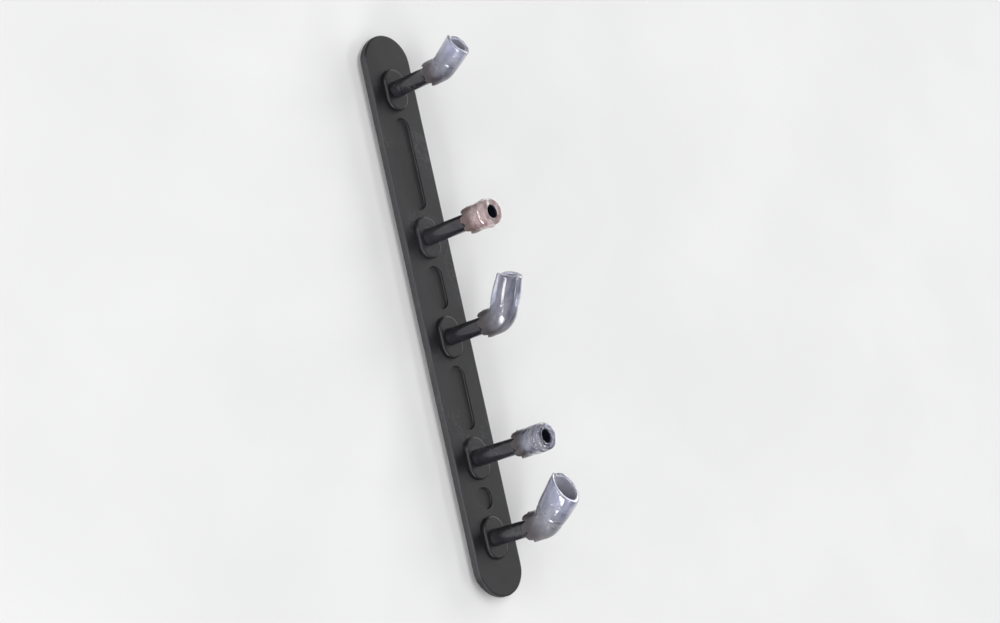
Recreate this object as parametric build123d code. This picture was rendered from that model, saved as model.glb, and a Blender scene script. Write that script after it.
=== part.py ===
from build123d import *
import os
from dataclasses import dataclass
from math import cos, radians, sin, sqrt

# A string-hole vibration dampener for one side of a squash racket head.
# A carrier strip lies in the groove on the outside of the head. Five barrels pass from it into the
# head, and a soft nose is snapped over the ball bead at the inner end of each barrel.
# Row frame, in millimetres: +X runs along the strip towards the racket's tip, +Y is square to the
# string bed, and +Z is the way the barrels point, into the head. The part lies on its outer side.

# Driving dimensions: the strip.
strip_length = 72.0
strip_width = 7.4
plate_thickness = 1.0
plate_edge_round = 0.22
end_ramp = 2.6
rail_height = 0.9
rail_width = 1.0
rail_edge_round = 0.25
channel_width = 3.9
rail_stop_short = 5.0
scallop_radius = 2.25
boss_length = 5.4
boss_width = 3.4
boss_height = 0.5
mould_mark_radius = 0.7
mould_mark_depth = 0.12
pocket_width = 2.4
pocket_depth = 0.3
pocket_floor_round = 0.15
pocket_to_boss = 0.9

# Driving dimensions: the barrels. The string is 1.25 mm across.
head_wall = 9.5
string_bore_radius = 0.78
barrel_radius = 1.07
barrel_hole_clearance = 0.03
flange_radius = 1.8
flange_thickness = 0.6
flange_sink = 0.45
string_mouth_round = 0.35
bead_radius = 1.22
bead_height = 0.45
tip_round = 0.14
neck_radius = 1.0
neck_length = 1.6
main_bead_depth = 1.4
cross_bead_depth = 0.3

# Driving dimensions: what all the noses share.
socket_radius = 1.27
socket_lip_radius = 1.13
skirt_length = 1.2
skirt_bottom_radius = 1.30
throat_radius = 1.15
throat_length = 1.0
mouth_round = 0.2
petal_count = 8
petal_slit_width = 0.7
petal_slit_height = 0.8

# Places along Z that follow from the sizes above.
plate_outer_z = rail_height
seat_z = plate_outer_z + plate_thickness
inner_wall_z = seat_z + head_wall


@dataclass
class Nose:
    """A soft nose. Its axis is upright, then an arc, then straight to the middle of the mouth.

    The bend turns the axis from +Z towards +X by that many degrees. The mouth tilt is the angle of
    the cut end from +Z, the same way. The body is widest at a distance beyond the bend.
    """

    station: float
    bead_depth: float
    upright: float
    bend: float
    bend_radius: float
    straight: float
    tube_radius: float
    widest_radius: float
    widest_at: float
    bore_radius: float
    mouth_tilt: float
    double_lip: bool = False

    @property
    def bead_z(self):
        return inner_wall_z - self.bead_depth

    @property
    def crown_radius(self):
        """The radius of the arc that swells the body from the tube's radius to its widest."""
        rise = self.widest_radius - self.tube_radius
        return (self.widest_at**2 + rise**2) / (2 * rise)


# The main strings leave almost along the strip and bend their noses over, the cross strings don't.
noses = {
    "upper_main": Nose(28.7, main_bead_depth, 0.66, 29.5, 1.9, 3.56, 1.58, 1.64, 1.6, 1.05, 27.0),
    "upper_cross": Nose(9.5, cross_bead_depth, 0.60, 0.0, 0.0, 2.35, 1.70, 1.78, 0.9, 0.85, 0.0),
    "middle_main": Nose(-3.3, main_bead_depth, 0.55, 59.0, 1.9, 4.53, 1.72, 1.80, 1.5, 0.85, 61.0),
    "lower_cross": Nose(-18.7, cross_bead_depth, 0.60, 0.0, 0.0, 2.90, 1.72, 1.80, 1.2, 0.85, 0.0, True),
    "lower_main": Nose(-28.7, main_bead_depth, 0.53, 38.0, 2.3, 4.89, 1.86, 2.12, 2.6, 1.45, 20.0),
}


def stand(radius, low, high):
    """An upright cylinder between two heights."""
    return Pos(0, 0, low) * Cylinder(radius, high - low, align=(Align.CENTER, Align.CENTER, Align.MIN))


def plate():
    """The strip's flat body, round at both ends and thinned there on its outer side."""
    body = extrude(SlotOverall(strip_length, strip_width), plate_thickness)
    body = fillet(body.faces().sort_by(Axis.Z)[-1].edges(), plate_edge_round)
    body = Pos(0, 0, plate_outer_z) * body
    for side in (-1, 1):
        thinning = Polyline(
            (side * (strip_length / 2 - end_ramp), plate_outer_z),
            (side * (strip_length / 2 + 1), plate_outer_z),
            (side * (strip_length / 2 + 1), plate_outer_z + plate_thickness / 2),
            close=True,
        )
        body -= extrude(Plane.XZ * make_face(thinning), strip_width, both=True)
    return body


def rail(side):
    """One of the two ribs that keep the string in its channel, with a ramp at each end."""
    half = strip_length / 2 - rail_stop_short
    profile = Polyline(
        (-half, plate_outer_z),
        (-half + 2 * rail_height, 0),
        (half - 2 * rail_height, 0),
        (half, plate_outer_z),
        close=True,
    )
    rib = extrude(Plane.XZ * make_face(profile), rail_width / 2, both=True)
    low_edges = rib.edges().filter_by(Axis.X).group_by(Axis.Z)[0]
    rib = fillet(low_edges, rail_edge_round)
    return Pos(0, side * (channel_width + rail_width) / 2, 0) * rib


def boss():
    """The oval pad round a barrel, which drops into the countersink of the head's hole."""
    pad = extrude(SlotOverall(boss_length, boss_width), boss_height)
    top_edges = pad.edges().group_by(Axis.Z)[-1]
    return Pos(0, 0, seat_z) * fillet(top_edges, boss_height / 2)


def pocket(left, right):
    """The shallow hollow between two bosses, which keeps the moulding as thin as its rails."""
    length = right - left - boss_length - 2 * pocket_to_boss
    hollow = extrude(SlotOverall(length, pocket_width), pocket_depth)
    hollow = fillet(hollow.edges().group_by(Axis.Z)[0], pocket_floor_round)
    return Pos((left + right) / 2, 0, seat_z - pocket_depth) * hollow


def carrier_strip():
    """The strip with its rails, bosses, counterbored holes, pockets and shallow mould marks."""
    stations = sorted(nose.station for nose in noses.values())
    strip = plate() + rail(-1) + rail(1)
    for x in stations:
        strip += Pos(x, 0, 0) * boss()
    floor_z = plate_outer_z + flange_sink
    for x in stations:
        strip -= Pos(x, 0, 0) * stand(scallop_radius, 0, plate_outer_z)
        strip -= Pos(x, 0, 0) * stand(flange_radius + barrel_hole_clearance, 0, floor_z)
        strip -= Pos(x, 0, 0) * stand(barrel_radius + barrel_hole_clearance, 0, seat_z + boss_height)
    for left, right in zip(stations, stations[1:]):
        middle = (left + right) / 2
        strip -= Pos(middle, 0, 0) * stand(mould_mark_radius, 0, plate_outer_z + mould_mark_depth)
        strip -= pocket(left, right)
    return strip


def barrel(bead_z):
    """A hard tube, flanged at its outer end, with a ball bead for the nose at its inner end."""
    flange_top = plate_outer_z + flange_sink
    tip_z = bead_z + bead_height
    tube = stand(flange_radius, flange_top - flange_thickness, flange_top)
    tube = fillet(tube.edges().group_by(Axis.Z)[0], flange_thickness / 3)
    tube += stand(barrel_radius, flange_top, bead_z - neck_length)
    tube += stand(neck_radius, flange_top, bead_z)
    bead = Pos(0, 0, bead_z) * Sphere(bead_radius)
    tube += bead - stand(2 * bead_radius, tip_z, tip_z + bead_radius)
    tube -= stand(string_bore_radius, 0, 2 * tip_z)
    bore_edges = tube.edges().filter_by(GeomType.CIRCLE)
    bore_edges = bore_edges.filter_by(lambda edge: abs(edge.radius - string_bore_radius) < 0.01)
    tube = fillet(bore_edges.sort_by(Axis.Z)[0], string_mouth_round)
    return fillet(tube.edges().group_by(Axis.Z)[-1], tip_round)


def beyond_bend(nose):
    """Where the axis comes out of its bend, turned so that +Z runs on along it."""
    turn = radians(nose.bend)
    reach_x = nose.bend_radius * (1 - cos(turn))
    reach_z = nose.upright + nose.bend_radius * sin(turn)
    return Pos(reach_x, 0, reach_z) * Rot(0, nose.bend, 0)


def bent_rod(nose, radius):
    """A round rod along the axis from the bead's centre to the end of the bend."""
    rod = stand(radius, 0, nose.upright)
    if nose.bend:
        hinge = Axis((nose.bend_radius, 0, nose.upright), (0, 1, 0))
        rod += revolve(Pos(0, 0, nose.upright) * Circle(radius), hinge, nose.bend)
    return rod


def crowned_body(nose):
    """The body beyond the bend, which swells gently and is longer than the nose."""
    far = nose.straight + nose.widest_radius
    drop = nose.crown_radius - sqrt(nose.crown_radius**2 - (far - nose.widest_at) ** 2)
    root = (nose.tube_radius, 0)
    end = (nose.widest_radius - drop, far)
    crown = ThreePointArc(root, (nose.widest_radius, nose.widest_at), end)
    profile = make_face([crown, Line(end, (0, far)), Line((0, far), (0, 0)), Line((0, 0), root)])
    return revolve(Plane.XZ * profile, Axis.Z)


def way_out(nose):
    """The string's way beyond the bend: a throat that narrows or widens to the bore."""
    throat = Cone(throat_radius, nose.bore_radius, throat_length)
    return Pos(0, 0, throat_length / 2) * throat + stand(nose.bore_radius, throat_length, 2 * nose.straight + 2)


def socket():
    """The hollow that snaps over the bead, and the flare of the skirt below it."""
    lip_depth = sqrt(socket_radius**2 - socket_lip_radius**2)
    flare_height = skirt_length - lip_depth
    flare = Cone(skirt_bottom_radius, socket_lip_radius, flare_height)
    return Sphere(socket_radius) + Pos(0, 0, -lip_depth - flare_height / 2) * flare


def petal_slits(nose):
    """V-shaped slits round the skirt, which let it open over the bead."""
    half = petal_slit_width / 2
    outline = Polyline(
        (-half, -skirt_length), (half, -skirt_length), (0, -skirt_length + petal_slit_height), close=True
    )
    slit = extrude(Plane.XZ * make_face(outline), -2 * nose.tube_radius)
    return [Rot(0, 0, 360 * (k + 0.5) / petal_count) * slit for k in range(petal_count)]


def lip_groove(nose):
    """The groove round the outside, just short of the mouth."""
    half = 0.18
    middle = nose.straight - 0.75
    band = stand(2 * nose.widest_radius, middle - half, middle + half)
    return band - stand(nose.widest_radius - half, middle - half, middle + half)


def lip_moat(nose):
    """The ring-shaped recess in the mouth, between the two lips."""
    inner = 1.08
    outer = 1.32
    floor = nose.straight - 0.5
    return stand(outer, floor, nose.straight + 1) - stand(inner, floor, nose.straight + 1)


def soft_nose(nose):
    """One nose with its bead's centre at the origin and its barrel along -Z."""
    onward = beyond_bend(nose)
    mouth_middle = (onward * Pos(0, 0, nose.straight)).position
    mouth_normal = Vector(0, 0, 1).rotate(Axis.Y, nose.mouth_tilt)
    mouth_plane = Plane(mouth_middle, x_dir=(0, 1, 0), z_dir=mouth_normal)
    cut_away = mouth_plane * Box(30, 30, 30, align=(Align.CENTER, Align.CENTER, Align.MIN))
    solid = stand(nose.tube_radius, -skirt_length, 0) + bent_rod(nose, nose.tube_radius)
    solid += onward * crowned_body(nose)
    solid -= cut_away
    mouth = solid.faces().sort_by_distance(mouth_middle)[0]
    solid = fillet(mouth.edges(), mouth_round)
    solid -= socket() + bent_rod(nose, throat_radius) + onward * way_out(nose)
    for slit in petal_slits(nose):
        solid -= slit
    if nose.double_lip:
        solid -= onward * (lip_groove(nose) + lip_moat(nose))
    return solid


def write(name, shape):
    """Writes one sub-part, which has to be a single solid."""
    solids = shape.solids()
    assert len(solids) == 1, (name, len(solids))
    solids[0].label = name
    export_step(solids[0], f"parts/{name}.step")
    box = solids[0].bounding_box()
    print(f"{name}: {solids[0].volume:.2f} mm3, up to Z {box.max.Z:.2f}")


os.makedirs("parts", exist_ok=True)
write("carrier_strip", carrier_strip())
for place, nose in noses.items():
    write(f"{place}_barrel", Pos(nose.station, 0, 0) * barrel(nose.bead_z))
    write(f"{place}_nose", Pos(nose.station, 0, nose.bead_z) * soft_nose(nose))
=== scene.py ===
# %% [markdown]
# # A string-hole vibration dampener
# Five soft noses carry a squash racket's strings out of its head and keep them from buzzing on the
# wall. Each nose is snapped over the ball bead of a hard barrel, and a strip on the outside of the
# head holds the five barrels in line. The strip and the barrels are hard mouldings, so their shape
# comes from the CAD model and they only get their finish here. The noses are soft, so the CAD model
# holds plain solids for them, and their true shape is made here.

from dataclasses import dataclass
from math import cos, degrees, radians, sin, sqrt, tan, tau

import bmesh
import bpy
from mathutils import Matrix, Vector


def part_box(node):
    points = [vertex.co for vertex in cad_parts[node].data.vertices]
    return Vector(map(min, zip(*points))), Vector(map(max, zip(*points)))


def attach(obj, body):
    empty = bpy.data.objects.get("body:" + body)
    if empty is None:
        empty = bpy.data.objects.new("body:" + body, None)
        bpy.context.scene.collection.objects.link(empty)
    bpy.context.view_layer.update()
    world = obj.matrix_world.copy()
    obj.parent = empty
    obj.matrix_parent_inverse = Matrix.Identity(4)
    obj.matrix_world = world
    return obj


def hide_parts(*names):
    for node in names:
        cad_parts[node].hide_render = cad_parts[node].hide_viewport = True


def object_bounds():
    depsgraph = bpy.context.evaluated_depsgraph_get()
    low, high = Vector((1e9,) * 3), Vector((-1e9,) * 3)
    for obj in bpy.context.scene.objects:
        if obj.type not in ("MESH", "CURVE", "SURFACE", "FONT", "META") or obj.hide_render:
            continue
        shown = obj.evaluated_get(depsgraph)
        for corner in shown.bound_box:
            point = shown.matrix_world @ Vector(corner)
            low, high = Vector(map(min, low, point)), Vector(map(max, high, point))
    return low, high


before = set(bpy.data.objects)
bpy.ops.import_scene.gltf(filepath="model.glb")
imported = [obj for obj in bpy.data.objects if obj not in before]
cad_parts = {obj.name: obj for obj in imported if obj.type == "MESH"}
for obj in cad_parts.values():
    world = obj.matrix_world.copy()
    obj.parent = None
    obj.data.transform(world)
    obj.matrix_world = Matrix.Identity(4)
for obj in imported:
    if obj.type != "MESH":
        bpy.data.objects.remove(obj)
cad_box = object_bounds()
MM = 0.001
row_middle = (cad_box[0] + cad_box[1]) / 2
print("the CAD box in mm:", [round(side / MM, 2) for side in cad_box[1] - cad_box[0]])

# %% [markdown]
# ## Reckoning with nodes
# Both the shape of the noses and the finish of every piece are worked out by nodes. A node tree that
# does arithmetic is hard to read as a list of nodes and links, so a small class stands for a number
# in a tree: adding or multiplying two of them adds the Math node that does it. One helper makes a
# node and fills its inputs, with a link where it is given a number and a fixed value where it isn't.


# %% Helpers for node trees
class Number:
    """A number inside a node tree. Each sum or product made with it is one more Math node."""

    def __init__(self, tree, socket):
        self.tree = tree
        self.socket = socket

    def math(self, operation, *others):
        step = make_node(self.tree, "ShaderNodeMath", operation=operation)
        for place, value in enumerate((self, *others)):
            connect(self.tree, value, step.inputs[place])
        return Number(self.tree, step.outputs[0])

    def __add__(self, other):
        return self.math("ADD", other)

    def __sub__(self, other):
        return self.math("SUBTRACT", other)

    def __mul__(self, other):
        return self.math("MULTIPLY", other)

    def __truediv__(self, other):
        return self.math("DIVIDE", other)

    def __rsub__(self, other):
        return self * -1 + other

    __radd__ = __add__
    __rmul__ = __mul__

    def hill(self, middle, width):
        """A smooth hill: 1 where this number is the middle, and near 0 a width or two away."""
        off = (self - middle) / width
        return (off * off * -1).math("EXPONENT")

    def ramp(self, low, high):
        """Rises smoothly from 0 to 1 as this number goes from low to high."""
        step = make_node(self.tree, "ShaderNodeMapRange", interpolation_type="SMOOTHSTEP")
        for place, value in enumerate((self, low, high)):
            connect(self.tree, value, step.inputs[place])
        return Number(self.tree, step.outputs[0])


def connect(tree, value, socket):
    """Links a number or an output to the socket, or gives the socket a fixed value."""
    source = value.socket if isinstance(value, Number) else value
    if isinstance(source, bpy.types.NodeSocket):
        tree.links.new(source, socket)
    else:
        socket.default_value = source


def make_node(tree, kind, inputs=None, **settings):
    """Adds a node, sets its properties, and then fills the inputs that are named."""
    made = tree.nodes.new(kind)
    for name, value in settings.items():
        setattr(made, name, value)
    for name, value in (inputs or {}).items():
        connect(tree, value, made.inputs[name])
    return made


def new_group(name, kind, inputs, outputs):
    """An empty node group with named sockets, each given with its type and, for an input, a value."""
    group = bpy.data.node_groups.new(name, kind)
    for label, (socket_type, value) in inputs.items():
        socket = group.interface.new_socket(label, in_out="INPUT", socket_type="NodeSocket" + socket_type)
        if value is not None:
            socket.default_value = value
    for label, socket_type in outputs.items():
        group.interface.new_socket(label, in_out="OUTPUT", socket_type="NodeSocket" + socket_type)
    return group, group.nodes.new("NodeGroupInput"), group.nodes.new("NodeGroupOutput")


print("node helpers ready")

# %% [markdown]
# ## The sizes of the noses
# All five noses are one idea with different sizes. Its axis stands up out of the barrel, turns over
# in an arc towards the racket's tip, and runs on straight to the mouth. The three noses on the main
# strings turn over, because those strings run almost along the head. The two on the cross strings
# stay straight. Where each one stands isn't typed in: it is read from the bead of its barrel.


# %% Sizes of the five noses
@dataclass
class Nose:
    """The sizes of one nose, in millimetres and degrees, as the CAD model has them.

    What follows the mouth's tilt is only looks: the angle of the cut end to one side, how far the
    end flares out and the lip swells, the depth of the dent that the string presses in the lip, a
    raised or sunken ring and its distance from the mouth, and the height of the fine ribs.
    """

    upright: float
    bend: float
    bend_radius: float
    straight: float
    tube_radius: float
    widest_radius: float
    widest_at: float
    bore_radius: float
    mouth_tilt: float
    side_tilt: float
    flare: float
    lip_swell: float
    string_dent: float
    ring_height: float
    ring_back: float
    rib_height: float
    double_lip: bool = False

    @property
    def bend_end(self):
        return self.upright + self.bend_radius * radians(self.bend)

    @property
    def length(self):
        return self.bend_end + self.straight


noses = {
    "upper_main": Nose(
        0.66, 29.5, 1.9, 3.56, 1.58, 1.64, 1.6, 1.05, 27, 10, 0.08, 0.03, 0.45, -0.03, 2.6, 0.002
    ),
    "upper_cross": Nose(
        0.60, 0, 0, 2.35, 1.70, 1.78, 0.9, 0.85, 0, 2, 0.0, 0.02, 0.10, 0.09, 0.95, 0.012
    ),
    "middle_main": Nose(
        0.55, 59, 1.9, 4.53, 1.72, 1.80, 1.5, 0.85, 61, -3, 0.0, 0.07, 0.30, -0.02, 3.6, 0.0
    ),
    "lower_cross": Nose(
        0.60, 0, 0, 2.90, 1.72, 1.80, 1.2, 0.85, 0, 3, 0.0, 0.02, 0.08, -0.05, 1.6, 0.010, True
    ),
    "lower_main": Nose(
        0.53, 38, 2.3, 4.89, 1.86, 2.12, 2.6, 1.45, 20, 11, 0.22, 0.0, 0.45, -0.05, 3.9, 0.002
    ),
}
bead_height = 0.45
skirt_length = 1.2
skirt_bottom_radius = 1.30
socket_radius = 1.27
socket_lip_radius = 1.13
throat_radius = 1.15
throat_length = 1.0
mouth_round = 0.2
bore_edge_round = 0.12
rim_round = 0.11
body_steps = 14
petal_depth = 0.85
petal_flare = 0.04
unevenness = 0.05
tight_bore_play = 0.2

# The double lip of the lower cross nose: its groove, and the ring-shaped recess in its mouth.
groove_back = 0.75
groove_radius = 0.22
groove_out = 0.05
groove_gap = 0.25
moat_depth = 0.5
moat_middle = 1.2
moat_floor_round = 0.12
moat_mouth_half_width = 0.14


def bead_centre(place):
    """The centre of the ball bead, which the nose turns on, in metres."""
    low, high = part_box(f"{place}_barrel")
    return Vector(((low.x + high.x) / 2, (low.y + high.y) / 2, high.z - bead_height * MM))


for place in noses:
    print(place, "bead at", [round(value / MM, 2) for value in bead_centre(place)])

# %% [markdown]
# ## The outline of a nose's wall
# A round hollow thing is a flat outline turned about an axis. The outline goes once round the wall:
# up the outside, over the mouth, down the bore and the throat, round the socket that grips the bead,
# and out to the rim of the skirt. It is drawn as a curve, in which x is the distance from the axis
# and z the distance along it. Each point's radius says whether it is on the outside, 1, or inside,
# 0, so that the wall's two sides can be told apart when the outline has become a mesh.


# %% Draw the outlines
def arc(middle_x, middle_z, radius, start, end, steps=6):
    """Points on an arc, between two angles in degrees from the x axis."""
    angles = [radians(start + (end - start) * k / steps) for k in range(steps + 1)]
    return [(middle_x + radius * cos(a), middle_z + radius * sin(a)) for a in angles]


def outer_radius(nose, along):
    """The outside of the body: an arc that swells from the tube and narrows again at the mouth."""
    rise = nose.widest_radius - nose.tube_radius
    crown_radius = (nose.widest_at**2 + rise**2) / (2 * rise)
    off = along - nose.bend_end - nose.widest_at
    return nose.widest_radius - crown_radius + sqrt(crown_radius**2 - off**2)


def second_lip(nose):
    """The round groove that parts the lower cross nose's lip from a second one behind it."""
    middle = nose.length - groove_back
    return arc(outer_radius(nose, middle) + groove_out, middle, groove_radius, 258, 102, 10)


def moat(nose):
    """The ring-shaped recess in that nose's mouth, from its outer side to its inner side."""
    low = nose.length - moat_depth + 0.1
    mouth, floor = moat_mouth_half_width, moat_floor_round
    outer_side = [(moat_middle + mouth, nose.length), (moat_middle + floor, low)]
    inner_side = [(moat_middle - floor, low), (moat_middle - mouth, nose.length)]
    return outer_side + arc(moat_middle, low, floor, 0, -180) + inner_side


def outside_points(nose):
    """From the rim of the skirt up to the edge of the bore, over the mouth."""
    points = arc(nose.tube_radius - rim_round, -skirt_length + rim_round, rim_round, -90, 0)
    body_end = nose.length - mouth_round
    for k in range(body_steps + 1):
        along = nose.bend_end + (body_end - nose.bend_end) * k / body_steps
        in_groove = nose.double_lip and abs(along - nose.length + groove_back) < groove_gap
        if not in_groove:
            points.append((outer_radius(nose, along), along))
    if nose.double_lip:
        before = [point for point in points if point[1] < nose.length - groove_back]
        points = before + second_lip(nose) + points[len(before):]
    points += arc(outer_radius(nose, body_end) - mouth_round, body_end, mouth_round, 10, 90)
    if nose.double_lip:
        points += moat(nose)
    edge_x = nose.bore_radius + bore_edge_round
    return points + arc(edge_x, nose.length - bore_edge_round, bore_edge_round, 90, 170)


def inside_points(nose):
    """From the edge of the bore down to the rim of the skirt."""
    points = [(nose.bore_radius, nose.length - bore_edge_round - 0.02)]
    points.append((nose.bore_radius, nose.bend_end + throat_length))
    points.append((throat_radius, nose.bend_end))
    upper = sqrt(socket_radius**2 - throat_radius**2)
    lower = sqrt(socket_radius**2 - socket_lip_radius**2)
    sideways = Vector((1, 0))
    upper_angle = degrees(Vector((throat_radius, upper)).angle(sideways))
    lower_angle = -degrees(Vector((socket_lip_radius, -lower)).angle(sideways))
    points += arc(0, 0, socket_radius, upper_angle, lower_angle, 12)
    points.append((skirt_bottom_radius, -skirt_length + rim_round))
    return points + arc(skirt_bottom_radius + rim_round, -skirt_length + rim_round, rim_round, 190, 260)


def draw_outline(name, nose):
    """The closed outline as a curve object, in metres."""
    marked = [(x, z, 1.0) for x, z in outside_points(nose)]
    marked += [(x, z, 0.0) for x, z in inside_points(nose)]
    curve = bpy.data.curves.new(name, "CURVE")
    curve.dimensions = "3D"
    spline = curve.splines.new("POLY")
    spline.points.add(len(marked) - 1)
    for point, (x, z, outside) in zip(spline.points, marked):
        point.co = (x * MM, 0, z * MM, 1)
        point.radius = outside
    spline.use_cyclic_u = True
    drawn = bpy.data.objects.new(name, curve)
    bpy.context.scene.collection.objects.link(drawn)
    return drawn


for place, nose in noses.items():
    print(place, "outline has", len(outside_points(nose) + inside_points(nose)), "points")

# %% [markdown]
# ## The rule that makes a nose
# Modelling five noses by hand would mean five times the work and five ways to go wrong, and a lathe
# modifier can't bend its result or cut petals in it. In Geometry Nodes the whole rule fits in one
# tree. A flat grid is the start: its x runs round the nose and its y once round the outline. Each
# point looks up its place on the outline, and the rule then changes its distance from the axis and
# its distance along it, for the petals, ribs, rings, lip and dent. The last step turns it about the
# axis and bends the axis over. The outline keeps its length there, as on a real bent sleeve.


# %% The rule, as a Geometry Nodes tree
length_inputs = (
    "Upright", "Bend Radius", "Bend End", "Length", "Skirt Length", "Petal Depth", "Petal Flare",
    "Flare", "Lip Swell", "String Dent", "Ring Height", "Ring Back", "Rib Height", "Unevenness",
)
nose_inputs = {"Outline": ("Geometry", None)}
nose_inputs |= {name: ("Float", 0.0) for name in length_inputs}
nose_inputs |= {
    "Bend": ("Float", 0.0),
    "Mouth Lean": ("Float", 0.0),
    "Side Lean": ("Float", 0.0),
    "Petals": ("Int", 8),
    "Steps Around": ("Int", 128),
    "Steps Along": ("Int", 176),
    "Seed": ("Float", 1.0),
    "Body": ("Material", None),
    "Bore": ("Material", None),
}
rib_pitch = 0.62 * MM
ring_width = 0.13 * MM
lip_width = 0.28 * MM
string_radius = 0.63 * MM
dent_reach = 1.3 * MM
flare_reach = 2.4 * MM
crumple_size = 1.1 * MM
crumple_scale = 0.55
weld_distance = 0.002 * MM
slit_sharpness = 3.4
slit_draw = 0.86
lip_back = 0.25 * MM
dent_spread = 0.35


def shaped_wall(tree, size, around, along, radius, outside):
    """How far from the axis and how far along it a point goes, by the rules for the looks."""
    # Petals: the skirt's rim is drawn up at each slit, and the tips between the slits stand out.
    skirt_top = size["Petal Depth"] - size["Skirt Length"]
    from_tip = (around * size["Petals"]).math("FRACT") - 0.5
    slit = (1 - from_tip.math("ABSOLUTE") * slit_sharpness).math("MAXIMUM", 0.0)
    below = (skirt_top - along).math("MAXIMUM", 0.0)
    share_below = below / size["Petal Depth"]
    along = along + below * slit * slit_draw
    radius = radius + size["Petal Flare"] * share_below * share_below * (1 - slit)
    # Where a slit draws the socket's lip up, the wall still keeps clear of the bead.
    bead_room = ((socket_radius * MM) ** 2 - along * along).math("MAXIMUM", 0.0).math("SQRT")
    radius = radius.math("MAXIMUM", bead_room)
    # Ribs and one ring on the outside, and a lip that swells at the mouth.
    from_mouth = size["Length"] - along
    wave = (along * (tau / rib_pitch)).math("SINE")
    radius = radius + size["Rib Height"] * wave * outside * along.ramp(size["Upright"], size["Bend End"])
    radius = radius + size["Ring Height"] * from_mouth.hill(size["Ring Back"], ring_width) * outside
    radius = radius + size["Lip Swell"] * from_mouth.hill(lip_back, lip_width) * outside
    radius = radius + size["Flare"] * from_mouth.ramp(flare_reach, 0.0)
    # The string lies in the lip on the side that the nose turns to, and has pressed a dent there.
    turned = around * tau
    sideways = radius * turned.math("SINE")
    same_side = turned.math("COSINE").math("MAXIMUM", 0.0)
    pressed = sideways.hill(0.0, string_radius) * same_side * from_mouth.ramp(dent_reach, 0.0)
    radius = radius + size["String Dent"] * pressed * dent_spread
    along = along - size["String Dent"] * pressed
    # The mouth leans back from square and to one side, more and more towards the end.
    lean = turned.math("COSINE") * size["Mouth Lean"] + turned.math("SINE") * size["Side Lean"]
    along = along - radius * lean * along.ramp(size["Bend End"], size["Length"])
    # Soft elastomer is never quite round.
    place = make_node(tree, "ShaderNodeCombineXYZ", {"X": turned.math("COSINE"), "Y": turned.math("SINE")})
    connect(tree, along / crumple_size, place.inputs["Z"])
    noise = make_node(tree, "ShaderNodeTexNoise", {"Vector": place.outputs[0]}, noise_dimensions="4D")
    connect(tree, size["Seed"], noise.inputs["W"])
    noise.inputs["Scale"].default_value = crumple_scale
    noise.inputs["Detail"].default_value = 1.0
    radius = radius + (Number(tree, noise.outputs[0]) - 0.5) * size["Unevenness"] * outside
    return radius, along, turned


def bent_place(tree, size, radius, along, turned):
    """Turns a point about the axis and bends the axis over, and gives its place."""
    across = radius * turned.math("COSINE")
    past = along - size["Upright"]
    angle = (past / size["Bend Radius"]).math("MAXIMUM", 0.0).math("MINIMUM", size["Bend"])
    beyond = (along - size["Bend End"]).math("MAXIMUM", 0.0)
    arm = size["Bend Radius"] - across
    x = size["Bend Radius"] - arm * angle.math("COSINE") + beyond * angle.math("SINE")
    low = along.math("MINIMUM", size["Upright"])
    z = low + arm * angle.math("SINE") + beyond * angle.math("COSINE")
    y = radius * turned.math("SINE")
    return make_node(tree, "ShaderNodeCombineXYZ", {"X": x, "Y": y, "Z": z}).outputs[0]


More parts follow.
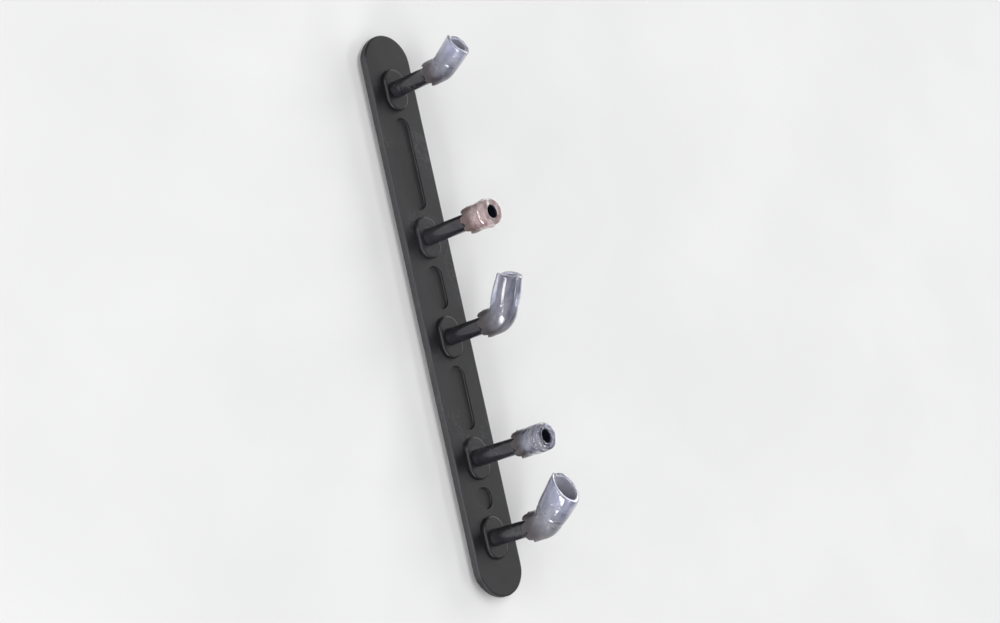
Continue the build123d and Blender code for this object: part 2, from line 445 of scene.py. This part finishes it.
def nose_tree():
    """The whole tree, from the flat grid to the finished nose with its two materials."""
    tree, given, result = new_group(
        "turned and bent nose", "GeometryNodeTree", nose_inputs, {"Nose": "Geometry"}
    )
    size = {name: Number(tree, given.outputs[name]) for name in nose_inputs}
    grid = make_node(tree, "GeometryNodeMeshGrid", {"Size X": 1.0, "Size Y": 1.0})
    connect(tree, size["Steps Around"] + 1, grid.inputs["Vertices X"])
    connect(tree, size["Steps Along"] + 1, grid.inputs["Vertices Y"])
    place = make_node(tree, "GeometryNodeInputPosition").outputs[0]
    split = make_node(tree, "ShaderNodeSeparateXYZ", {0: place})
    around = Number(tree, split.outputs["X"]) + 0.5
    once_round = Number(tree, split.outputs["Y"]) + 0.5
    point_radius = make_node(tree, "GeometryNodeInputRadius").outputs[0]
    look_up = make_node(tree, "GeometryNodeSampleCurve", mode="FACTOR", use_all_curves=True)
    connect(tree, given.outputs["Outline"], look_up.inputs["Curves"])
    connect(tree, point_radius, look_up.inputs["Value"])
    connect(tree, once_round, look_up.inputs["Factor"])
    outside = Number(tree, look_up.outputs["Value"])
    found = make_node(tree, "ShaderNodeSeparateXYZ", {0: look_up.outputs["Position"]})
    radius = Number(tree, found.outputs["X"])
    along = Number(tree, found.outputs["Z"])
    # What the materials want to know is kept on the mesh before its points are moved.
    mesh = grid.outputs["Mesh"]
    for name, value in {"outside": outside, "along": along / size["Length"]}.items():
        keep = make_node(tree, "GeometryNodeStoreNamedAttribute", {"Geometry": mesh, "Name": name})
        connect(tree, value, keep.inputs["Value"])
        mesh = keep.outputs["Geometry"]
    shaped = shaped_wall(tree, size, around, along, radius, outside)
    final = bent_place(tree, size, *shaped)
    moved = make_node(tree, "GeometryNodeSetPosition", {"Geometry": mesh, "Position": final})
    welded = make_node(tree, "GeometryNodeMergeByDistance", {"Geometry": moved.outputs[0]})
    welded.inputs["Distance"].default_value = weld_distance
    smooth = make_node(tree, "GeometryNodeSetShadeSmooth", {"Geometry": welded.outputs[0]})
    real = make_node(tree, "GeometryNodeRealizeInstances", {"Geometry": smooth.outputs[0]})
    body = make_node(tree, "GeometryNodeSetMaterial", {"Geometry": real.outputs[0]})
    connect(tree, given.outputs["Body"], body.inputs["Material"])
    kept = make_node(tree, "GeometryNodeInputNamedAttribute", {"Name": "outside"}, data_type="FLOAT")
    inside = Number(tree, kept.outputs["Attribute"]).math("LESS_THAN", 0.5)
    bore = make_node(tree, "GeometryNodeSetMaterial", {"Geometry": body.outputs[0], "Selection": inside})
    connect(tree, given.outputs["Bore"], bore.inputs["Material"])
    connect(tree, bore.outputs[0], result.inputs["Nose"])
    return tree


nose_rule = nose_tree()
print("the nose's rule has", len(nose_rule.nodes), "nodes")

# %% [markdown]
# ## Effects that several finishes share
# Moulded plastic and moulded elastomer both show a fine grain from the mould and soft clouds of
# lighter and darker stock. All the pieces pick up small scuffs. Each effect is a shader node group,
# built once and placed in every material with its own values, so the pieces look like one family.


# %% Shared shader groups
def object_coordinates(tree):
    return make_node(tree, "ShaderNodeTexCoord").outputs["Object"]


def noise_at(tree, place, scale, detail=2.0):
    """A noise value at a place, with a scale in cells per metre."""
    noise = make_node(tree, "ShaderNodeTexNoise", {"Vector": place, "Detail": detail})
    connect(tree, scale, noise.inputs["Scale"])
    return Number(tree, noise.outputs[0])


def stretched_place(tree, place, stretch, turn):
    """A place for a pattern that is drawn out along its own x, and then turned."""
    inputs = {"Vector": place, "Scale": (stretch, 1, 1), "Rotation": turn}
    return make_node(tree, "ShaderNodeMapping", inputs, vector_type="TEXTURE").outputs[0]


scratch_width = 0.018


def grain_group():
    """Fine grain of a mould's surface, and the clouds of tone in the stock."""
    inputs = {
        "Grain Scale": ("Float", 6000.0),
        "Cloud Scale": ("Float", 300.0),
        "Flow": ("Float", 0.3),
        "Flow Turn": ("Vector", (0.0, 0.0, 0.0)),
    }
    outputs = {"Height": "Float", "Cloud": "Float"}
    tree, given, result = new_group("moulded grain", "ShaderNodeTree", inputs, outputs)
    place = object_coordinates(tree)
    fine = noise_at(tree, place, given.outputs["Grain Scale"], 3.0)
    # Flow marks are noise that is stretched along the way the stock ran.
    stretched = stretched_place(tree, place, 7, given.outputs["Flow Turn"])
    flow = noise_at(tree, stretched, given.outputs["Cloud Scale"], 2.0)
    cloud = noise_at(tree, place, given.outputs["Cloud Scale"], 3.0)
    share = Number(tree, given.outputs["Flow"])
    connect(tree, fine, result.inputs["Height"])
    connect(tree, (flow * share + cloud * (1 - share)).ramp(0.35, 0.65), result.inputs["Cloud"])
    return tree


def scuff_group():
    """Small scratches that cross each other, in patches."""
    inputs = {"Scratch Scale": ("Float", 900.0), "Patch Scale": ("Float", 160.0), "Amount": ("Float", 0.5)}
    tree, given, result = new_group("scuffs", "ShaderNodeTree", inputs, {"Scuff": "Float"})
    place = object_coordinates(tree)
    scratches = None
    for turn in (24, -37, 71):
        turned = stretched_place(tree, place, 6, (0, 0, radians(turn)))
        line = noise_at(tree, turned, given.outputs["Scratch Scale"], 1.0).hill(0.5, scratch_width)
        scratches = line if scratches is None else scratches.math("MAXIMUM", line)
    patch = noise_at(tree, place, given.outputs["Patch Scale"], 2.0)
    threshold = 0.72 - Number(tree, given.outputs["Amount"]) * 0.3
    connect(tree, scratches * patch.ramp(threshold, threshold + 0.12), result.inputs["Scuff"])
    return tree


moulded_grain = grain_group()
scuffs = scuff_group()
print("shared effects:", moulded_grain.name, "and", scuffs.name)

# %% [markdown]
# ## The finishes
# The noses are a milky elastomer: some light scatters in the wall and comes out again, and most goes
# through it. The dark bore is seen through the wall, enlarged as by a lens, and shows as a soft core
# with paler sides. A colour that depends on the viewing angle could paint that core, but it would
# slide over the nose in other views, so transmission, subsurface and a thin wet-looking coat make
# it. The colour on the surface is streaks in the stock, and near the root a painted shade that makes
# the wall darker and browner where it sits down on its barrel.
# The bore has two finishes of its own, painted near black as the shade deep in the tube and as the
# dark string in it: a tight bore is dark up to the mouth, and an open one is painted paler towards
# the mouth, where light reaches in. The barrels are a smooth black nylon and the strip a duller one,
# scuffed on the rails that touch the ground.


# %% Finish helpers
def new_finish(name):
    """An empty material, with its Principled shader."""
    finish = bpy.data.materials.new(name)
    finish.use_nodes = True
    tree = finish.node_tree
    return finish, tree, tree.nodes["Principled BSDF"]


def place_group(tree, group, **values):
    """Puts a shared effect in a material's tree. Values are named as the inputs, with underscores."""
    placed = make_node(tree, "ShaderNodeGroup", node_tree=group)
    for name, value in values.items():
        connect(tree, value, placed.inputs[name.replace("_", " ")])
    return placed


def blend_colours(tree, share, first, second):
    """The first colour where the share is 0 and the second where it is 1."""
    mixed = make_node(tree, "ShaderNodeMix", data_type="RGBA")
    for socket, value in zip((mixed.inputs[0], mixed.inputs[6], mixed.inputs[7]), (share, first, second)):
        connect(tree, value, socket)
    return mixed.outputs[2]


def raise_surface(tree, shader, height, depth):
    """Turns a height of 0 to 1 into a bump of that depth in metres."""
    bump = make_node(tree, "ShaderNodeBump", {"Height": height, "Distance": depth, "Strength": 1.0})
    connect(tree, bump.outputs["Normal"], shader.inputs["Normal"])


def set_shader(shader, **values):
    for name, value in values.items():
        shader.inputs[name.replace("_", " ")].default_value = value


def kept_number(tree, name):
    """A number that the nose's rule kept on its mesh."""
    return Number(tree, make_node(tree, "ShaderNodeAttribute", attribute_name=name).outputs["Fac"])


# %% Milky and rosy elastomer
def elastomer(name, clearness, deep, pale, root):
    """The wall of a nose: see-through, with deep and pale streaks, and a painted shade near the root."""
    finish, tree, shader = new_finish(name)
    grain = place_group(tree, moulded_grain, Grain_Scale=3500.0, Cloud_Scale=1300.0, Flow=0.7)
    connect(tree, (0.0, radians(-50), 0.0), grain.inputs["Flow Turn"])
    marks = place_group(tree, scuffs, Scratch_Scale=2600.0, Patch_Scale=420.0, Amount=0.35)
    scuff = Number(tree, marks.outputs["Scuff"])
    streaky = blend_colours(tree, grain.outputs["Cloud"], deep, pale)
    # painted shade: the wall turns darker and browner towards the root, where it sits down on its barrel
    near_root = 1 - kept_number(tree, "along").ramp(-0.05, 0.42)
    root_shaded = blend_colours(tree, near_root * 0.9, streaky, root)
    scuffed = blend_colours(tree, scuff * 0.12, root_shaded, (0.95, 0.95, 0.97, 1))
    connect(tree, scuffed, shader.inputs["Base Color"])
    rough = Number(tree, grain.outputs["Cloud"]) * 0.06 + scuff * 0.1 + 0.18
    connect(tree, rough + near_root * 0.25, shader.inputs["Roughness"])
    connect(tree, 1 - near_root * 0.8, shader.inputs["Coat Weight"])
    set_shader(shader, IOR=1.42, Transmission_Weight=clearness)
    set_shader(shader, Subsurface_Weight=0.6, Subsurface_Scale=0.5 * MM)
    set_shader(shader, Subsurface_Radius=(1.0, 0.95, 0.95), Coat_Roughness=0.12, Coat_IOR=1.6)
    set_shader(shader, Sheen_Weight=0.15, Sheen_Roughness=0.3)
    raise_surface(tree, shader, grain.outputs["Height"], 0.002 * MM)
    return finish


def shaded_bore(name, lighter_from, lighter_to):
    """The inside of a nose: a painted shade, near black deep in the tube, and a painted light towards the
    mouth.
    """
    finish, tree, shader = new_finish(name)
    grain = place_group(tree, moulded_grain, Grain_Scale=7000.0, Cloud_Scale=900.0, Flow=0.7)
    cloud = Number(tree, grain.outputs["Cloud"])
    # painted shade: the bore is near black, as the shade deep in the tube and the dark string in it
    bore_painted_shade = blend_colours(tree, cloud, (0.008, 0.010, 0.018, 1), (0.030, 0.036, 0.060, 1))
    # painted light: the bore turns paler towards the mouth, where light reaches in
    near_mouth = kept_number(tree, "along").ramp(lighter_from, lighter_to)
    paler = blend_colours(tree, near_mouth * 0.85, bore_painted_shade, (0.44, 0.45, 0.52, 1))
    connect(tree, paler, shader.inputs["Base Color"])
    connect(tree, cloud * 0.2 + 0.3, shader.inputs["Roughness"])
    set_shader(shader, IOR=1.42, Coat_Weight=0.25, Coat_Roughness=0.2)
    raise_surface(tree, shader, grain.outputs["Height"], 0.012 * MM)
    return finish


milky = elastomer(
    "milky_elastomer", 0.86, (0.30, 0.32, 0.47, 1), (0.80, 0.81, 0.91, 1), (0.15, 0.11, 0.11, 1)
)
rosy = elastomer(
    "rosy_elastomer", 0.6, (0.44, 0.30, 0.30, 1), (0.74, 0.58, 0.57, 1), (0.16, 0.10, 0.09, 1)
)
tight_bore = shaded_bore("tight_bore", 0.93, 1.0)
open_bore = shaded_bore("open_bore", 0.35, 0.9)
print("nose finishes:", milky.name, rosy.name, tight_bore.name, open_bore.name)


# %% Black nylon for the strip and the barrels
def strip_nylon():
    """Dull black nylon: fine grain, grey burnish along both edges, and worn rails on the outside."""
    finish, tree, shader = new_finish("strip_nylon")
    grain = place_group(tree, moulded_grain, Grain_Scale=5200.0, Cloud_Scale=260.0, Flow=0.75)
    marks = place_group(tree, scuffs, Scratch_Scale=1200.0, Patch_Scale=150.0, Amount=0.6)
    split = make_node(tree, "ShaderNodeSeparateXYZ", {0: object_coordinates(tree)})
    half_width = (cad_box[1].y - cad_box[0].y) / 2
    off_middle = Number(tree, split.outputs["Y"]).math("ABSOLUTE")
    at_edge = off_middle.ramp(half_width - 0.35 * MM, half_width)
    worn_low = 1 - Number(tree, split.outputs["Z"]).ramp(0.0, 0.5 * MM)
    scuff = Number(tree, marks.outputs["Scuff"])
    wear = (scuff * 0.4 + at_edge * 0.35 + worn_low * (scuff * 0.6 + 0.3)).math("MINIMUM", 1.0)
    cloud = Number(tree, grain.outputs["Cloud"])
    cloudy = blend_colours(tree, cloud, (0.005, 0.005, 0.006, 1), (0.010, 0.010, 0.012, 1))
    connect(tree, blend_colours(tree, wear, cloudy, (0.06, 0.06, 0.064, 1)), shader.inputs["Base Color"])
    connect(tree, cloud * 0.1 + wear * 0.25 + 0.36, shader.inputs["Roughness"])
    set_shader(shader, IOR=1.53, Specular_IOR_Level=0.32)
    raise_surface(tree, shader, grain.outputs["Height"], 0.02 * MM)
    return finish


def barrel_nylon():
    """Smooth black nylon: a polished mould leaves only faint grain and fine scratches."""
    finish, tree, shader = new_finish("barrel_nylon")
    grain = place_group(tree, moulded_grain, Grain_Scale=8000.0, Cloud_Scale=500.0, Flow=0.2)
    marks = place_group(tree, scuffs, Scratch_Scale=1500.0, Patch_Scale=300.0, Amount=0.45)
    scuff = Number(tree, marks.outputs["Scuff"])
    stock = ((0.008, 0.008, 0.010, 1), (0.018, 0.018, 0.021, 1))
    cloudy = blend_colours(tree, grain.outputs["Cloud"], *stock)
    scuffed = blend_colours(tree, scuff * 0.25, cloudy, (0.12, 0.12, 0.125, 1))
    connect(tree, scuffed, shader.inputs["Base Color"])
    connect(tree, scuff * 0.15 + 0.22, shader.inputs["Roughness"])
    set_shader(shader, IOR=1.53, Coat_Weight=0.3, Coat_Roughness=0.1)
    raise_surface(tree, shader, grain.outputs["Height"], 0.006 * MM)
    return finish


def give_finish(node_name, finish):
    """A CAD node keeps its shape and only gets another material."""
    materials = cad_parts[node_name].data.materials
    materials.clear()
    materials.append(finish)


strip_finish = strip_nylon()
barrel_finish = barrel_nylon()
give_finish("carrier_strip", strip_finish)
for place in noses:
    give_finish(f"{place}_barrel", barrel_finish)
print("hard pieces finished:", 1 + len(noses))

# %% [markdown]
# ## Making the five noses
# Each nose gets its outline, a modifier that runs the rule on it, and its own sizes, set by the
# sockets' identifiers. The evaluated result is copied to a plain mesh and moved to its bead. The
# wall has to be closed with its faces outwards, so its volume is measured: it comes out negative
# if the mesh is inside out. The nose then rides on its own body, because it sways on its bead.


# %% Make the noses
def set_inputs(modifier, values):
    """Gives the modifier its values, by the identifiers of the sockets with those names."""
    for item in modifier.node_group.interface.items_tree:
        if item.item_type == "SOCKET" and item.in_out == "INPUT" and item.name in values:
            modifier[item.identifier] = values[item.name]


def nose_sizes(nose, seed, body):
    """All inputs of the rule for one nose, in metres and radians."""
    lengths = (
        nose.upright, nose.bend_radius, nose.bend_end, nose.length, skirt_length, petal_depth,
        petal_flare, nose.flare, nose.lip_swell, nose.string_dent, nose.ring_height,
        nose.ring_back, nose.rib_height, unevenness,
    )
    values = {name: value * MM for name, value in zip(length_inputs, lengths)}
    values["Bend"] = radians(nose.bend)
    values["Mouth Lean"] = tan(radians(nose.mouth_tilt - nose.bend))
    values["Side Lean"] = -tan(radians(nose.side_tilt))
    values["Seed"] = float(seed)
    values["Body"] = body
    values["Bore"] = tight_bore if nose.bore_radius < throat_radius - tight_bore_play else open_bore
    return values


def wall_volume(mesh):
    """The volume in cubic millimetres, and the number of edges that don't have two faces."""
    checked = bmesh.new()
    checked.from_mesh(mesh)
    volume = checked.calc_volume(signed=True)
    loose = sum(not edge.is_manifold for edge in checked.edges)
    checked.free()
    return volume / MM**3, loose


def make_nose(place, nose, seed, body):
    """One nose as a plain mesh at its bead, with the modifier used up."""
    outline = draw_outline(f"{place}_outline", nose)
    modifier = outline.modifiers.new("nose rule", "NODES")
    modifier.node_group = nose_rule
    set_inputs(modifier, nose_sizes(nose, seed, body))
    evaluated = outline.evaluated_get(bpy.context.evaluated_depsgraph_get())
    mesh = bpy.data.meshes.new_from_object(evaluated)
    bpy.data.objects.remove(outline)
    mesh.transform(Matrix.Translation(bead_centre(place)))
    mesh.name = f"{place}_soft_nose"
    volume, loose = wall_volume(mesh)
    assert loose == 0 and volume > 0, (place, volume, loose)
    print(f"{mesh.name}: {len(mesh.polygons)} faces, {volume:.1f} cubic mm")
    made = bpy.data.objects.new(mesh.name, mesh)
    bpy.context.scene.collection.objects.link(made)
    return made


for seed, (place, nose) in enumerate(noses.items(), start=3):
    rosy_one = place == "upper_cross"
    soft_nose = make_nose(place, nose, seed, rosy if rosy_one else milky)
    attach(soft_nose, f"{place}_sleeve")
    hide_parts(f"{place}_nose")

# %% [markdown]
# ## Floor, light and camera
# The part lies on its outer side on a pale, faintly mottled table that reaches far past the view.
# The sky gives little light but looks pale where it is seen, and the far table glows a little to
# take on its tone, so the horizon hardly shows. Five long softboxes light the row: one overhead, one
# high on the far side, and three low ones at the front, at the throat end and at the back. A long
# light draws a long streak down a glossy nose, and the low ones reach the noses' sides. The camera
# looks down the row from the side that the noses turn away from.


# %% Floor and sky
sky_light = 0.26
sky_tone = 0.93
table_glow = 0.2
table_radius = 3.0
glow_from = 0.5
glow_to = 2.2


def floor_finish():
    finish, tree, shader = new_finish("pale_table")
    mottle = noise_at(tree, object_coordinates(tree), 35.0, 3.0)
    tone = blend_colours(tree, mottle.ramp(0.3, 0.7), (0.73, 0.73, 0.73, 1), (0.76, 0.76, 0.76, 1))
    connect(tree, tone, shader.inputs["Base Color"])
    set_shader(shader, Roughness=0.8, Specular_IOR_Level=0.0, Emission_Color=(1, 1, 1, 1))
    # Far from the part the table takes on the sky's tone, so that the two meet without a line.
    place = {0: object_coordinates(tree)}
    distance = make_node(tree, "ShaderNodeVectorMath", place, operation="LENGTH")
    far_away = Number(tree, distance.outputs["Value"]).ramp(glow_from, glow_to)
    connect(tree, far_away * (sky_tone - table_glow), shader.inputs["Emission Strength"])
    return finish


def make_floor():
    disc = bmesh.new()
    bmesh.ops.create_circle(disc, cap_ends=True, segments=96, radius=table_radius)
    mesh = bpy.data.meshes.new("floor")
    disc.to_mesh(mesh)
    disc.free()
    floor = bpy.data.objects.new("floor", mesh)
    mesh.materials.append(floor_finish())
    bpy.context.scene.collection.objects.link(floor)


def make_sky():
    """A dim sky for the light it gives, which looks as pale as the table where it is seen."""
    world = bpy.data.worlds.new("studio")
    bpy.context.scene.world = world
    world.use_nodes = True
    tree = world.node_tree
    backdrop = tree.nodes["Background"]
    backdrop.inputs["Color"].default_value = (0.97, 0.98, 1.0, 1)
    path = make_node(tree, "ShaderNodeLightPath")
    through = Number(tree, path.outputs["Is Transmission Ray"])
    seen = Number(tree, path.outputs["Is Camera Ray"]).math("MAXIMUM", through)
    connect(tree, seen * (sky_tone - sky_light) + sky_light, backdrop.inputs["Strength"])


make_floor()
make_sky()
bpy.context.scene.view_settings.view_transform = "Standard"
print("floor and sky ready")


# %% Lights and camera
def around_row(azimuth, elevation, distance):
    """A place seen from the row's middle at these angles, in degrees. Azimuth 0 is towards -Y."""
    a = radians(azimuth)
    e = radians(elevation)
    return row_middle + distance * Vector((sin(a) * cos(e), -cos(a) * cos(e), sin(e)))


def softbox(name, azimuth, elevation, distance, size, power):
    """A rectangular light that faces the row, with its long side level."""
    light = bpy.data.lights.new(name, "AREA")
    light.shape = "RECTANGLE"
    light.size, light.size_y = size
    light.energy = power
    lamp = bpy.data.objects.new(name, light)
    lamp.location = around_row(azimuth, elevation, distance)
    lamp.rotation_euler = (row_middle - lamp.location).to_track_quat("-Z", "Y").to_euler()
    lamp.visible_camera = False
    bpy.context.scene.collection.objects.link(lamp)


softbox("overhead", 150, 74, 1.35, (1.65, 0.135), 8.5)
softbox("far_side", -23, 52, 1.35, (1.35, 0.09), 3.6)
softbox("low_front", 180, 12, 1.35, (1.2, 0.42), 14.4)
softbox("low_throat_end", -124, 9, 1.14, (0.66, 0.36), 10.8)
softbox("low_back", 25, 16, 1.35, (1.5, 0.4), 12.0)

camera_azimuth = -168.97
camera_elevation = 43.86
camera_roll = 69.6
camera_distance = 344 * MM
aim = Vector((-2.4, -0.3, 11.2)) * MM

camera_data = bpy.data.cameras.new("camera")
camera_data.sensor_width = 36
camera_data.lens = 101.8
camera_data.clip_start = 0.01
camera = bpy.data.objects.new("camera", camera_data)
bpy.context.scene.collection.objects.link(camera)
outward = (around_row(camera_azimuth, camera_elevation, 1.0) - row_middle).normalized()
level = outward.to_track_quat("Z", "Y").to_matrix().to_4x4()
camera.matrix_world = Matrix.Translation(aim + outward * camera_distance) @ level @ Matrix.Rotation(
    radians(camera_roll), 4, "Z"
)
bpy.context.scene.camera = camera
print("camera at", [round(value / MM, 1) for value in camera.location])
